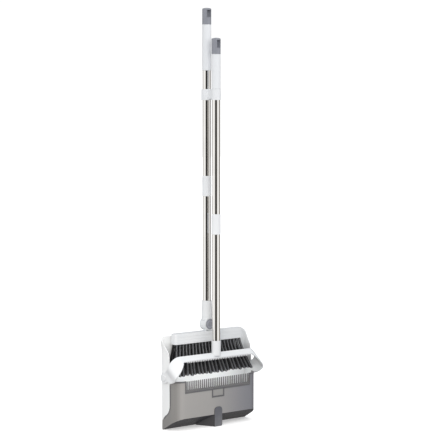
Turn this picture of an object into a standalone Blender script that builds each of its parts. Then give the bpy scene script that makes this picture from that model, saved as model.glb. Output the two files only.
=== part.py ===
"""Dustpan and brush on long handles: a windproof dustpan with its broom stored in it.

Metres, +Z up. The origin is the centre of the footprint, on the floor. The pan stands on its rear
edge with its mouth up, its hood faces -Y, and both handles run up along +Z.
"""
import math

import bmesh
import bpy
from mathutils import Vector

MM = 0.001
GAP = 0.3 * MM                     # clearance between neighbouring pieces

# Pan
PAN_HALF_WIDTH = 148.0 * MM
PAN_HEIGHT = 256.0 * MM
PAN_BACK = 34.0 * MM               # outer face of the pan's floor plate
PAN_WALL = 2.6 * MM

# Hood over the rear half of the pan
HOOD_FRONT = -29.5 * MM
HOOD_TOP = 137.0 * MM
HOOD_WALL = 2.4 * MM
HOOD_CORNER = 31.0 * MM            # plan radius of its two upright corners
HOOD_CREASE = 34.0 * MM            # height of the front's lower edge
HOOD_HEEL = 29.0 * MM              # Y where the sloping underside reaches the floor
RECESS_HALF_WIDTH = 113.0 * MM
RECESS_BOTTOM = 107.0 * MM
LATCH_HALF_WIDTH = 18.0 * MM
LATCH_BOTTOM = 86.0 * MM
COMB_TEETH = 33
COMB_PITCH = 6.8 * MM
COMB_TOOTH = 2.8 * MM

# Foot under the hood
FOOT_HALF_WIDTH = 13.5 * MM
FOOT_TOP = 55.0 * MM
FOOT_SPREAD = 36.0 * MM            # half-width of its buttress at the heel

# Hinge between pan and bail
PIVOT_Y = 18.0 * MM
PIVOT_Z = 144.0 * MM
PIVOT_SHAFT = 4.8 * MM
PIVOT_BORE = 5.1 * MM
PAD_RADIUS = 15.0 * MM

# Bail
BAIL_INSIDE = 148.6 * MM           # half-distance between the legs
BAIL_THICK = 4.0 * MM
BAIL_WIDTH = 22.0 * MM
BAIL_REACH = 66.0 * MM             # pivot to bar
BAIL_CORNER = 27.0 * MM
BAIL_SWELL = 31.0 * MM             # extra width of the legs in front
BAIL_WAIST = 9.0 * MM              # how far the legs' rear edge is drawn in
BAIL_BOW = 5.0 * MM                # how far the legs bow outward
BAIL_TEETH = 36
BAIL_TEETH_PITCH = 6.0 * MM

# Handles
POLE_Y = -21.0 * MM                # dustpan handle's axis
BROOM_Y = 19.0 * MM                # broom handle's axis
TUBE_RADIUS = 11.0 * MM
TUBE_WALL = 0.5 * MM
SLEEVE_RADIUS = 12.5 * MM
SLEEVE_BORE = 11.3 * MM
SOCKET_RADIUS = 13.0 * MM
SOCKET_TOP = 238.0 * MM
SOCKET_BOTTOM = 197.0 * MM
POLE_FOOT = 204.0 * MM
POLE_JOIN = 560.0 * MM
POLE_SLEEVE = (532.0 * MM, 588.0 * MM)
CLIP = (901.0 * MM, 931.0 * MM)
POLE_GRIP = (931.3 * MM, 1026.0 * MM)
POLE_CAP = (1026.3 * MM, 1071.0 * MM)
POLE_END = 1038.0 * MM
BROOM_FOOT = 313.0 * MM
BROOM_JOIN = 664.0 * MM
BROOM_SLEEVE = (636.0 * MM, 692.0 * MM)
BROOM_GRIP = (982.0 * MM, 1108.0 * MM)
BROOM_CAP = (1108.3 * MM, 1154.0 * MM)
BROOM_END = 1118.0 * MM
WINDOW_HALF = 7.8 * MM             # half-width of the hanging window through each cap

# Broom head
BAR_HALF_WIDTH = 121.0 * MM
BAR_FRONT = 7.0 * MM
BAR_BACK = 30.0 * MM
BAR_BOTTOM = 233.0 * MM
BAR_TOP = 262.0 * MM
BRISTLE_TIP = 147.0 * MM
HUB_Z = 281.0 * MM
HUB_RADIUS = 17.6 * MM             # cheeks of the neck
HUB_FRONT = 5.0 * MM
HUB_BACK = 30.0 * MM
HUB_SLOT = (12.6 * MM, 25.4 * MM)
LUG_RADIUS = 16.6 * MM
NECK_TOP = 346.0 * MM
NECK_RADIUS = 14.3 * MM
HUB_BORE = 5.3 * MM
HUB_SHAFT = 5.0 * MM
BUTTON_RADIUS = 14.6 * MM

FOOTPRINT_SHIFT = 6.0 * MM        # moves the finished set so that its footprint is centred

SEGMENTS = 48


def new_collection(name):
    coll = bpy.data.collections.new(name)
    bpy.context.scene.collection.children.link(coll)
    return coll


def start():
    for obj in list(bpy.data.objects):
        bpy.data.objects.remove(obj, do_unlink=True)
    for coll in list(bpy.data.collections):
        bpy.data.collections.remove(coll)
    return new_collection("dustpan_and_brush"), new_collection("cutters")


def make_material(name, colour, roughness, metallic=0.0, alpha=1.0):
    mat = bpy.data.materials.new(name)
    mat.use_nodes = True
    shader = mat.node_tree.nodes["Principled BSDF"]
    shader.inputs["Base Color"].default_value = (*colour, 1.0)
    shader.inputs["Roughness"].default_value = roughness
    shader.inputs["Metallic"].default_value = metallic
    shader.inputs["Alpha"].default_value = alpha
    mat.diffuse_color = (*colour, alpha)
    return mat


def move_to(obj, coll):
    for other in list(obj.users_collection):
        other.objects.unlink(obj)
    coll.objects.link(obj)


def hide_tool(obj):
    move_to(obj, TOOLS)
    obj.hide_render = True
    obj.display_type = "WIRE"


def finish(obj, material, parent=None, smooth=True):
    move_to(obj, PARTS)
    obj.data.materials.clear()
    obj.data.materials.append(material)
    if smooth:
        obj.data.shade_smooth()
        obj.data.set_sharp_from_angle(angle=math.radians(35))
    if parent is not None:
        obj.location = obj.location - parent.location
        obj.parent = parent
    return obj


def joint_empty(name, location):
    empty = bpy.data.objects.new(name, None)
    empty.empty_display_size = 0.03
    empty.location = location
    PARTS.objects.link(empty)
    return empty


def arc(cx, cy, radius, start_deg, end_deg, steps):
    """Points of an arc, ends included."""
    points = []
    for i in range(steps + 1):
        a = math.radians(start_deg + (end_deg - start_deg) * i / steps)
        points.append((cx + radius * math.cos(a), cy + radius * math.sin(a)))
    return points


def rounded_box(x0, x1, y0, y1, radius, steps=6):
    return (arc(x1 - radius, y1 - radius, radius, 0, 90, steps)
            + arc(x0 + radius, y1 - radius, radius, 90, 180, steps)
            + arc(x0 + radius, y0 + radius, radius, 180, 270, steps)
            + arc(x1 - radius, y0 + radius, radius, 270, 360, steps))


def curve_to_mesh(obj):
    """Swap a curve object for a closed mesh of the same shape and place."""
    bpy.context.view_layer.update()
    graph = bpy.context.evaluated_depsgraph_get()
    mesh = bpy.data.meshes.new_from_object(obj.evaluated_get(graph))
    bm = bmesh.new()
    bm.from_mesh(mesh)
    bmesh.ops.remove_doubles(bm, verts=bm.verts, dist=0.000001)
    bmesh.ops.recalc_face_normals(bm, faces=bm.faces)
    bm.to_mesh(mesh)
    bm.free()
    name = obj.name
    solid = bpy.data.objects.new(name + "_solid", mesh)
    solid.location = obj.location
    solid.rotation_euler = obj.rotation_euler
    bpy.context.scene.collection.objects.link(solid)
    bpy.data.objects.remove(obj, do_unlink=True)
    solid.name = name
    return solid


def plate(name, outline, low, high, plane):
    """A flat outline with thickness: plane XY runs along Z, XZ along Y and YZ along X."""
    curve = bpy.data.curves.new(name, "CURVE")
    curve.dimensions = "2D"
    curve.fill_mode = "BOTH"
    curve.extrude = (high - low) / 2
    spline = curve.splines.new("POLY")
    spline.points.add(len(outline) - 1)
    for point, (u, v) in zip(spline.points, outline):
        point.co = (u, v, 0, 1)
    spline.use_cyclic_u = True
    obj = bpy.data.objects.new(name, curve)
    bpy.context.scene.collection.objects.link(obj)
    middle = (low + high) / 2
    if plane == "XY":
        obj.location = (0, 0, middle)
    elif plane == "XZ":
        obj.rotation_euler = (math.radians(90), 0, 0)
        obj.location = (0, middle, 0)
    else:
        obj.rotation_euler = (math.radians(90), 0, math.radians(90))
        obj.location = (middle, 0, 0)
    return curve_to_mesh(obj)


def box(name, low, high):
    bpy.ops.mesh.primitive_cube_add(size=1)
    obj = bpy.context.object
    obj.name = name
    obj.location = [(a + b) / 2 for a, b in zip(low, high)]
    obj.data.transform(scale_matrix([b - a for a, b in zip(low, high)]))
    return obj


def scale_matrix(size):
    from mathutils import Matrix
    return Matrix.Diagonal((*size, 1.0))


def cylinder(name, radius, low, high, axis="Z", centre=(0, 0, 0), segments=SEGMENTS):
    """A rod along one axis, between two heights on that axis."""
    bpy.ops.mesh.primitive_cylinder_add(vertices=segments, radius=radius, depth=high - low)
    obj = bpy.context.object
    obj.name = name
    place = Vector(centre)
    if axis == "X":
        obj.rotation_euler = (0, math.radians(90), 0)
        place.x = (low + high) / 2
    elif axis == "Y":
        obj.rotation_euler = (math.radians(90), 0, 0)
        place.y = (low + high) / 2
    else:
        place.z = (low + high) / 2
    obj.location = place
    return obj


def turned(name, profile, closed, location, rotation=(0, 0, 0), segments=SEGMENTS):
    """A profile of (radius, height) points, outer side first and downward, turned about Z."""
    mesh = bpy.data.meshes.new(name)
    verts = [(r, 0, z) for r, z in profile]
    edges = [(i, i + 1) for i in range(len(verts) - 1)]
    if closed:
        edges.append((len(verts) - 1, 0))
    mesh.from_pydata(verts, edges, [])
    obj = bpy.data.objects.new(name, mesh)
    bpy.context.scene.collection.objects.link(obj)
    obj.location = location
    obj.rotation_euler = rotation
    screw = obj.modifiers.new("Turn", "SCREW")
    screw.angle = math.radians(360)
    screw.steps = segments
    screw.render_steps = segments
    screw.use_merge_vertices = True
    screw.merge_threshold = 0.000001
    return obj


def tube(name, outer, inner, low, high, y):
    profile = [(outer, high), (outer, low), (inner, low), (inner, high)]
    return turned(name, profile, True, (0, y, 0))


def boolean(obj, other, operation):
    hide_tool(other)
    mod = obj.modifiers.new(other.name, "BOOLEAN")
    mod.operation = operation
    mod.object = other
    mod.solver = "EXACT"
    return obj


def cut(obj, other):
    return boolean(obj, other, "DIFFERENCE")


def join(obj, other):
    return boolean(obj, other, "UNION")


def wall_edge():
    """The side wall's front edge in (Y, Z), from the lip down to the heel."""
    edge = [(PAN_BACK, PAN_HEIGHT), (29.0 * MM, 247.0 * MM), (25.5 * MM, 240.0 * MM)]
    edge += [(15.5 * MM, 226.5 * MM), (5.0 * MM, 213.0 * MM), (2.4 * MM, 196.0 * MM)]
    edge += [(0.9 * MM, 180.0 * MM), (-1.0 * MM, 140.0 * MM)]
    edge += arc(32.0 * MM, 70.0 * MM, 33.0 * MM, 180, 245, 8)
    edge += [(26.0 * MM, 32.0 * MM), (PAN_BACK, 22.0 * MM)]
    return edge


def underside(y, lift=0.0):
    """Height of the hood's sloping underside at Y."""
    return HOOD_CREASE * (HOOD_HEEL - y) / (HOOD_HEEL - HOOD_FRONT) + lift


def make_pan_body():
    """Floor plate and two side walls in one moulding."""
    outer = rounded_box(-PAN_HALF_WIDTH, PAN_HALF_WIDTH, -2.0 * MM, PAN_BACK, 0.8 * MM, 2)
    body = plate("pan_body", outer, 0.0, PAN_HEIGHT, "XY")
    inside = PAN_HALF_WIDTH - PAN_WALL
    hollow = rounded_box(-inside, inside, -40.0 * MM, PAN_BACK - PAN_WALL, 6.0 * MM, 4)
    cut(body, plate("pan_hollow", hollow, -5.0 * MM, PAN_HEIGHT + 5.0 * MM, "XY"))
    edge = wall_edge()
    front = [(y, z) for y, z in edge[1:-1]]
    shape = [(PAN_BACK - PAN_WALL, PAN_HEIGHT + 5.0 * MM)]
    shape += [(PAN_BACK - PAN_WALL, 251.0 * MM)]
    shape += front
    shape += [(PAN_BACK - PAN_WALL, 25.0 * MM), (PAN_BACK - PAN_WALL, -5.0 * MM)]
    shape += [(-40.0 * MM, -5.0 * MM), (-40.0 * MM, PAN_HEIGHT + 5.0 * MM)]
    cut(body, plate("wall_front_cut", shape, -0.16, 0.16, "YZ"))
    cut(body, cylinder("pan_pivot_hole", PIVOT_BORE, -0.16, 0.16, "X", (0, PIVOT_Y, PIVOT_Z)))
    return finish(body, WHITE)


def hood_plan(inset, back):
    """The hood's plan outline, inset from its outer face."""
    half = PAN_HALF_WIDTH - inset
    front = HOOD_FRONT + inset
    radius = HOOD_CORNER - inset
    cx = half - radius
    cy = front + radius
    points = [(half, back)]
    points += arc(-cx, cy, radius, 180, 270, 10)
    points = [(half, back), (-half, back)] + points[1:]
    points += arc(cx, cy, radius, 270, 360, 10)
    return points


def slope_block(name, lift):
    """Everything below the hood's sloping underside."""
    y0 = -60.0 * MM
    y1 = 60.0 * MM
    shape = [(y0, -0.05), (y1, -0.05), (y1, underside(y1, lift)), (y0, underside(y0, lift))]
    return plate(name, shape, -0.17, 0.17, "YZ")


def make_hood():
    """A cup that closes the rear of the pan: front, rounded corners and sloping floor."""
    back = PAN_BACK - PAN_WALL - GAP
    hood = plate("hood", hood_plan(0.0, back), 0.0, HOOD_TOP, "XY")
    cut(hood, slope_block("hood_under", 0.0))
    core = plate("hood_core", hood_plan(HOOD_WALL, 0.05), -0.01, HOOD_TOP + 0.02, "XY")
    cut(core, slope_block("hood_core_under", HOOD_WALL * 1.15))
    cut(hood, core)
    edge = wall_edge()
    wall = [(y - GAP, z - GAP) for y, z in edge[1:-1]]
    zone = [(0.06, 0.27), (29.0 * MM, 0.27)] + wall
    zone += [(PAN_BACK, 22.0 * MM), (0.06, 22.0 * MM)]
    for side, x in (("left", -1), ("right", 1)):
        low = min(x * 0.1440, x * 0.1500)
        high = max(x * 0.1440, x * 0.1500)
        cut(hood, plate("wall_room_" + side, zone, low, high, "YZ"))
    recess = box("recess_cut", (-RECESS_HALF_WIDTH, -0.05, RECESS_BOTTOM), (RECESS_HALF_WIDTH, -0.02, 0.15))
    cut(hood, recess)
    window = box("latch_cut", (-LATCH_HALF_WIDTH, -0.05, LATCH_BOTTOM), (LATCH_HALF_WIDTH, -0.02, 0.11))
    cut(hood, window)
    return finish(hood, SMOKE)


def make_comb():
    """Comb along the hood's top edge, with a square tab at its middle."""
    half = RECESS_HALF_WIDTH - GAP
    base = RECESS_BOTTOM + GAP
    root = base + 5.0 * MM
    top = HOOD_TOP - 1.0 * MM
    tab = LATCH_HALF_WIDTH - GAP
    outline = [(half, base), (half, root)]
    for i in range(COMB_TEETH):
        x = COMB_PITCH * ((COMB_TEETH - 1) / 2 - i)
        outline.append((x + COMB_TOOTH / 2, root))
        outline.append((x + COMB_TOOTH * 0.38, top))
        outline.append((x - COMB_TOOTH * 0.38, top))
        outline.append((x - COMB_TOOTH / 2, root))
    outline += [(-half, root), (-half, base), (-tab, base)]
    outline += [(-tab, LATCH_BOTTOM + GAP), (tab, LATCH_BOTTOM + GAP), (tab, base)]
    comb = plate("hood_comb", outline, HOOD_FRONT, HOOD_FRONT + HOOD_WALL, "XZ")
    return finish(comb, SMOKE_DARK, smooth=False)


def make_foot():
    """Rounded tongue in front of the hood, on a hollow buttress that spreads to the heel."""
    front = HOOD_FRONT - GAP
    tongue = rounded_box(-FOOT_HALF_WIDTH, FOOT_HALF_WIDTH, 0.0, FOOT_TOP, 10.0 * MM, 6)
    low_corners = [(-FOOT_HALF_WIDTH + 5.0 * MM, 0.0), (FOOT_HALF_WIDTH - 5.0 * MM, 0.0)]
    low_left = arc(-FOOT_HALF_WIDTH + 5.0 * MM, 5.0 * MM, 5.0 * MM, 180, 270, 5)
    low_right = arc(FOOT_HALF_WIDTH - 5.0 * MM, 5.0 * MM, 5.0 * MM, 270, 360, 5)
    tongue = tongue[:14] + low_left[:-1] + low_corners + low_right[1:]
    foot = plate("foot", tongue, front - 1.7 * MM, front, "XZ")
    base = [(-FOOT_HALF_WIDTH + 1.5 * MM, front - 1.0 * MM), (FOOT_HALF_WIDTH - 1.5 * MM, front - 1.0 * MM),
            (FOOT_SPREAD, 24.0 * MM), (-FOOT_SPREAD, 24.0 * MM)]
    buttress = plate("foot_buttress", base, 0.0, 0.05, "XY")
    y0 = -60.0 * MM
    y1 = 60.0 * MM
    drop = -1.5 * GAP
    over = [(y0, underside(y0, drop)), (y1, underside(y1, drop)), (y1, 0.08), (y0, 0.08)]
    cut(buttress, plate("foot_over", over, -0.05, 0.05, "YZ"))
    join(foot, buttress)
    wall = 2.4 * MM
    near = FOOT_HALF_WIDTH - 1.5 * MM - wall
    far = FOOT_SPREAD - wall * 1.3
    room = [(-near, front + 0.8 * MM), (near, front + 0.8 * MM), (far, 8.0 * MM), (-far, 8.0 * MM)]
    room = [(x * (0.72 if y > 0 else 1.0), y) for x, y in room]
    hollow = plate("foot_hollow", room, -0.01, 0.05, "XY")
    deep = drop - 2.8 * MM
    roof = [(y0, underside(y0, deep)), (y1, underside(y1, deep)), (y1, 0.08), (y0, 0.08)]
    cut(hollow, plate("foot_roof", roof, -0.05, 0.05, "YZ"))
    cut(foot, hollow)
    return finish(foot, SLATE)


def make_pivot_pin(name, side):
    """Shaft through the bail's pad and the pan's wall, with a head at each end."""
    head = 8.5 * MM
    collar = 7.0 * MM
    wall = PAN_HALF_WIDTH
    out = BAIL_INSIDE + BAIL_THICK + GAP
    profile = [(0.0, out + 1.6 * MM), (head - 1.0 * MM, out + 1.6 * MM), (head, out + 0.8 * MM), (head, out)]
    profile += [(PIVOT_SHAFT, out), (PIVOT_SHAFT, wall - PAN_WALL - GAP)]
    profile += [(collar, wall - PAN_WALL - GAP), (collar, wall - PAN_WALL - GAP - 1.8 * MM)]
    profile += [(0.0, wall - PAN_WALL - GAP - 1.8 * MM)]
    pin = turned(name, profile, False, (0, PIVOT_Y, PIVOT_Z), (0, math.radians(90 * side), 0), 36)
    return finish(pin, WHITE)


def bail_path():
    """Points (x, reach) along half the bail, from the leg to the start of the bar."""
    x = BAIL_INSIDE + BAIL_THICK / 2
    corner_x = x - BAIL_CORNER
    corner_s = BAIL_REACH - BAIL_CORNER
    straight = [(x, corner_s * k / 6) for k in range(6)]
    return [(px, ps, 0.0) for px, ps in straight], arc(corner_x, corner_s, BAIL_CORNER, 0, 90, 12)


def front_width(reach):
    """How far the leg's web spreads forward of its middle line, by distance from the pivot."""
    t = min(max(reach / BAIL_REACH, 0.0), 1.0)
    swell = math.sin(math.pi * t ** 1.35) ** 0.35 if 0.0 < t < 1.0 else 0.0
    return BAIL_WIDTH / 2 + BAIL_SWELL * swell + 3.0 * MM * (1 - t)


def bail_sections():
    """Rows of (x, reach, turn, notch) along the whole bail."""
    straight, corner = bail_path()
    rows = [(x, s, 0.0, 0.0) for x, s, _ in straight]
    for i, (x, s) in enumerate(corner):
        rows.append((x, s, i * 90 / 12, 0.0))
    half = (BAIL_TEETH - 1) / 2
    bar = []
    for i in range(BAIL_TEETH):
        x = (half - i) * BAIL_TEETH_PITCH
        bar.append((x + 2.2 * MM, BAIL_REACH, 90, 0.0))
        bar.append((x + 1.5 * MM, BAIL_REACH, 90, 2.5 * MM))
        bar.append((x - 1.5 * MM, BAIL_REACH, 90, 2.5 * MM))
        bar.append((x - 2.2 * MM, BAIL_REACH, 90, 0.0))
    bowed = []
    for x, s, a, n in rows:
        t = (s - PAD_RADIUS) / (0.93 * BAIL_REACH - PAD_RADIUS)
        bow = BAIL_BOW * math.sin(math.pi * min(max(t, 0.0), 1.0)) ** 2
        bowed.append((x + bow, s, a, n))
    mirrored = [(-x, s, 180 - a, n) for x, s, a, n in reversed(bowed)]
    return bowed + bar + mirrored


def make_bail():
    """Arched bail: two legs, a toothed bar and the socket for the handle."""
    tilt = math.atan2(PIVOT_Y - POLE_Y + 1.0 * MM, 52.0 * MM)
    along = Vector((0, -math.sin(tilt), math.cos(tilt)))
    across = Vector((0, -math.cos(tilt), -math.sin(tilt)))
    pivot = Vector((0, PIVOT_Y, PIVOT_Z))
    bm = bmesh.new()
    rings = []
    half_t = BAIL_THICK / 2
    for x, s, turn, notch in bail_sections():
        a = math.radians(turn)
        out = Vector((math.cos(a), 0, 0)) + along * math.sin(a)
        centre = pivot + Vector((x, 0, 0)) + along * s
        w = BAIL_WIDTH / 2 - BAIL_WAIST * math.sin(math.pi * min(s / BAIL_REACH, 1.0)) ** 2
        low = front_width(s) - notch
        edge = 1.0 * MM
        corners = [(-half_t, -w + edge), (-half_t + edge, -w), (half_t - edge, -w), (half_t, -w + edge)]
        corners += [(half_t, low - edge), (half_t - edge, low), (-half_t + edge, low), (-half_t, low - edge)]
        rings.append([bm.verts.new(centre + out * t + across * u) for t, u in corners])
    for a, b in zip(rings, rings[1:]):
        for i in range(8):
            j = (i + 1) % 8
            bm.faces.new((a[i], a[j], b[j], b[i]))
    bm.faces.new(rings[0])
    bm.faces.new(list(reversed(rings[-1])))
    bmesh.ops.recalc_face_normals(bm, faces=bm.faces)
    mesh = bpy.data.meshes.new("bail")
    bm.to_mesh(mesh)
    bm.free()
    bail = bpy.data.objects.new("bail", mesh)
    bpy.context.scene.collection.objects.link(bail)
    for side, x in (("left", -1), ("right", 1)):
        low = min(x * BAIL_INSIDE, x * (BAIL_INSIDE + BAIL_THICK))
        high = max(x * BAIL_INSIDE, x * (BAIL_INSIDE + BAIL_THICK))
        join(bail, cylinder("pad_" + side, PAD_RADIUS, low, high, "X", (0, PIVOT_Y, PIVOT_Z)))
    join(bail, cylinder("socket", SOCKET_RADIUS, SOCKET_BOTTOM, SOCKET_TOP, "Z", (0, POLE_Y, 0)))
    cut(bail, cylinder("socket_bore", SLEEVE_BORE, POLE_FOOT - GAP, 0.26, "Z", (0, POLE_Y, 0)))
    cut(bail, cylinder("pad_bores", PIVOT_BORE, -0.17, 0.17, "X", (0, PIVOT_Y, PIVOT_Z)))
    return finish(bail, WHITE, HANDLE_JOINT)


def make_tube(name, low, high, y, parent):
    piece = tube(name, TUBE_RADIUS, TUBE_RADIUS - TUBE_WALL, low, high, y)
    return finish(piece, STEEL, parent)


def make_sleeve(name, span, y, parent):
    """A plain collar with softened ends around a tube."""
    low, high = span
    soft = 0.6 * MM
    profile = [(SLEEVE_RADIUS - soft, high), (SLEEVE_RADIUS, high - soft), (SLEEVE_RADIUS, low + soft),
               (SLEEVE_RADIUS - soft, low), (SLEEVE_BORE, low), (SLEEVE_BORE, high)]
    return finish(turned(name, profile, True, (0, y, 0)), WHITE, parent)


def make_cap(name, span, y, tube_end, slot, turn, parent):
    """End cap with a hanging slot right through it."""
    low, high = span
    r = SLEEVE_RADIUS
    profile = [(0.0, high), (r * 0.55, high - 0.7 * MM), (r * 0.9, high - 2.0 * MM)]
    profile += [(r, high - 3.2 * MM), (r, low)]
    profile += [(SLEEVE_BORE, low), (SLEEVE_BORE, tube_end + GAP), (0.0, tube_end + GAP)]
    cap = turned(name, profile, False, (0, y, 0))
    half, bottom, top = slot
    outline = rounded_box(-half, half, bottom, top, 1.8 * MM, 4)
    cutter = plate(name + "_slot", outline, y - 0.02, y + 0.02, "XZ")
    cutter.rotation_euler = (math.radians(90), 0, math.radians(turn))
    cut(cap, cutter)
    return finish(cap, SLATE_LIGHT, parent)


def make_clip():
    """Collar on the dustpan's handle with a cradle that laps the broom's handle."""
    low, high = CLIP
    clip = cylinder("pole_clip", 13.2 * MM, low, high, "Z", (0, POLE_Y, 0))
    inner = TUBE_RADIUS + 0.4 * MM
    outer = inner + 2.1 * MM
    lip = 17.0 * MM
    jaw = [(lip, BROOM_Y - inner)]
    jaw += arc(0, BROOM_Y, inner, 270, 180, 10)
    jaw += [(-inner, BROOM_Y + 7.0 * MM), (-inner - 1.0 * MM, BROOM_Y + 8.0 * MM)]
    jaw += [(-outer, BROOM_Y + 7.0 * MM)]
    jaw += arc(0, BROOM_Y, outer, 180, 270, 10)
    jaw += [(lip, BROOM_Y - outer)]
    join(clip, plate("clip_jaw", jaw, low, high, "XY"))
    web_start = (-5.0 * MM, POLE_Y + 6.0 * MM, low + 3.0 * MM)
    web_end = (5.0 * MM, BROOM_Y - outer + 1.0 * MM, high - 3.0 * MM)
    join(clip, box("clip_web", web_start, web_end))
    cut(clip, cylinder("clip_bore", SLEEVE_BORE, low - 0.01, high + 0.01, "Z", (0, POLE_Y, 0)))
    return finish(clip, WHITE, HANDLE_JOINT)


def make_broom_bar():
    """Bar that holds the bristles, with the lug that the handle's neck turns on."""
    outline = rounded_box(-BAR_HALF_WIDTH, BAR_HALF_WIDTH, BAR_FRONT, BAR_BACK, 6.0 * MM, 4)
    bar = plate("broom_bar", outline, BAR_BOTTOM, BAR_TOP, "XY")
    stem = 8.0 * MM
    lug = [(-stem, BAR_BOTTOM + 4.0 * MM), (stem, BAR_BOTTOM + 4.0 * MM)]
    lug += arc(0, HUB_Z, LUG_RADIUS, -61, 241, 40)
    join(bar, plate("hub_lug", lug, HUB_SLOT[0] + GAP, HUB_SLOT[1] - GAP, "XZ"))
    cut(bar, cylinder("hub_bore", HUB_BORE, -0.01, 0.06, "Y", (0, 0, HUB_Z)))
    return finish(bar, WHITE, HEAD_JOINT)


def make_bristles():
    """The bristles as one flared block."""
    bpy.ops.mesh.primitive_cube_add(size=1)
    block = bpy.context.object
    block.name = "bristles"
    top = BAR_BOTTOM - GAP
    block.location = (0, 0, (top + BRISTLE_TIP) / 2)
    for vert in block.data.vertices:
        upper = vert.co.z > 0
        half = 117.0 * MM if upper else 140.0 * MM
        front = 9.0 * MM if upper else -5.0 * MM
        back = 28.5 * MM if upper else 30.0 * MM
        vert.co.x = half if vert.co.x > 0 else -half
        vert.co.y = back if vert.co.y > 0 else front
        vert.co.z = vert.co.z * (top - BRISTLE_TIP)
    return finish(block, BRISTLE, HEAD_JOINT, smooth=False)


def make_swivel_pin():
    """Pin through the neck's rear cheek into the lug."""
    head = 7.0 * MM
    top = HUB_BACK - GAP
    low = HUB_BACK - 2.1 * MM
    profile = [(0.0, top), (head, top), (head, low), (HUB_SHAFT, low)]
    profile += [(HUB_SHAFT, 18.0 * MM), (0.0, 18.0 * MM)]
    pin = turned("swivel_pin", profile, False, (0, 0, HUB_Z), (math.radians(-90), 0, 0), 36)
    return finish(pin, STEEL, POLE_JOINT)


def make_button():
    """Round release button in the neck's front cheek, with a ring sunk in its face."""
    face = HUB_FRONT - 1.6 * MM
    back = HUB_FRONT + 0.6 * MM
    end = 9.7 * MM
    profile = [(0.0, end), (HUB_SHAFT, end), (HUB_SHAFT, back)]
    profile += [(BUTTON_RADIUS, back), (BUTTON_RADIUS, face + 1.2 * MM), (BUTTON_RADIUS - 1.2 * MM, face)]
    profile += [(10.8 * MM, face), (10.0 * MM, face + 0.8 * MM), (8.0 * MM, face + 0.8 * MM)]
    profile += [(7.2 * MM, face), (0.0, face)]
    button = turned("swivel_button", profile, False, (0, 0, HUB_Z), (math.radians(-90), 0, 0), 48)
    return finish(button, SLATE_LIGHT, BUTTON_JOINT)


def make_neck():
    """Neck of the broom's handle: two round cheeks over the lug and a socket above them."""
    root = HUB_Z + 3.0 * MM
    neck = cylinder("broom_neck", HUB_RADIUS, HUB_FRONT, HUB_BACK, "Y", (0, 0, HUB_Z), 64)
    seat = BROOM_FOOT - GAP
    profile = [(0.0, seat), (SLEEVE_BORE, seat), (SLEEVE_BORE, NECK_TOP), (13.2 * MM, NECK_TOP)]
    profile += [(NECK_RADIUS, root + 42.0 * MM), (NECK_RADIUS, root + 1.0 * MM)]
    profile += [(NECK_RADIUS - 1.0 * MM, root)]
    profile += [(0.0, root)]
    join(neck, turned("neck_socket", profile, False, (0, BROOM_Y, 0), (0, 0, math.radians(3))))
    clear = HUB_RADIUS + 0.3 * MM
    fork = arc(0, HUB_Z, clear, 0, 180, 24) + [(-clear, HUB_Z - 0.03), (clear, HUB_Z - 0.03)]
    cut(neck, plate("neck_fork", fork, HUB_SLOT[0], HUB_SLOT[1], "XZ"))
    cut(neck, cylinder("neck_hub_bore", HUB_BORE, -0.01, 0.06, "Y", (0, 0, HUB_Z)))
    cut(neck, cylinder("button_seat", BUTTON_RADIUS + GAP, -0.01, HUB_FRONT + 3.2 * MM, "Y", (0, 0, HUB_Z)))
    cut(neck, cylinder("pin_seat", 7.4 * MM, HUB_BACK - 2.4 * MM, 0.05, "Y", (0, 0, HUB_Z)))
    return finish(neck, WHITE, POLE_JOINT)


PARTS, TOOLS = start()

WHITE = make_material("white_plastic", (0.80, 0.82, 0.83), 0.35)
SMOKE = make_material("smoked_plastic", (0.24, 0.235, 0.235), 0.30)
SMOKE_DARK = make_material("smoked_comb", (0.20, 0.20, 0.21), 0.32)
SLATE = make_material("slate_plastic", (0.11, 0.12, 0.14), 0.45)
SLATE_LIGHT = make_material("blue_grey_plastic", (0.25, 0.28, 0.33), 0.40)
STEEL = make_material("steel_tube", (0.66, 0.65, 0.62), 0.18, 1.0)
BRISTLE = make_material("bristle_fibre", (0.035, 0.035, 0.038), 0.60)

HANDLE_JOINT = joint_empty("handle_joint", (0, PIVOT_Y, PIVOT_Z))
HEAD_JOINT = joint_empty("head_joint", (0, BROOM_Y, BAR_BOTTOM))
BUTTON_JOINT = joint_empty("button_joint", (0, BAR_FRONT, HUB_Z))
POLE_JOINT = joint_empty("pole_joint", (0, BROOM_Y, HUB_Z))

make_pan_body()
make_hood()
make_comb()
make_foot()
make_pivot_pin("pivot_pin_left", -1)
make_pivot_pin("pivot_pin_right", 1)

make_bail()
make_tube("handle_lower_tube", POLE_FOOT, POLE_JOIN, POLE_Y, HANDLE_JOINT)
make_tube("handle_upper_tube", POLE_JOIN + GAP, POLE_END, POLE_Y, HANDLE_JOINT)
make_sleeve("handle_joint_sleeve", POLE_SLEEVE, POLE_Y, HANDLE_JOINT)
make_sleeve("handle_grip", POLE_GRIP, POLE_Y, HANDLE_JOINT)
make_cap("handle_cap", POLE_CAP, POLE_Y, POLE_END, (WINDOW_HALF, 1.043, 1.0645), 12, HANDLE_JOINT)
make_clip()

make_broom_bar()
make_bristles()
make_swivel_pin()
make_button()

make_neck()
make_tube("broom_lower_tube", BROOM_FOOT, BROOM_JOIN, BROOM_Y, POLE_JOINT)
make_tube("broom_upper_tube", BROOM_JOIN + GAP, BROOM_END, BROOM_Y, POLE_JOINT)
make_sleeve("broom_joint_sleeve", BROOM_SLEEVE, BROOM_Y, POLE_JOINT)
make_sleeve("broom_grip", BROOM_GRIP, BROOM_Y, POLE_JOINT)
make_cap("broom_cap", BROOM_CAP, BROOM_Y, BROOM_END, (WINDOW_HALF, 1.1275, 1.148), 0, POLE_JOINT)

for thing in bpy.data.objects:
    if thing.parent is None:
        thing.location.y += FOOTPRINT_SHIFT
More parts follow.
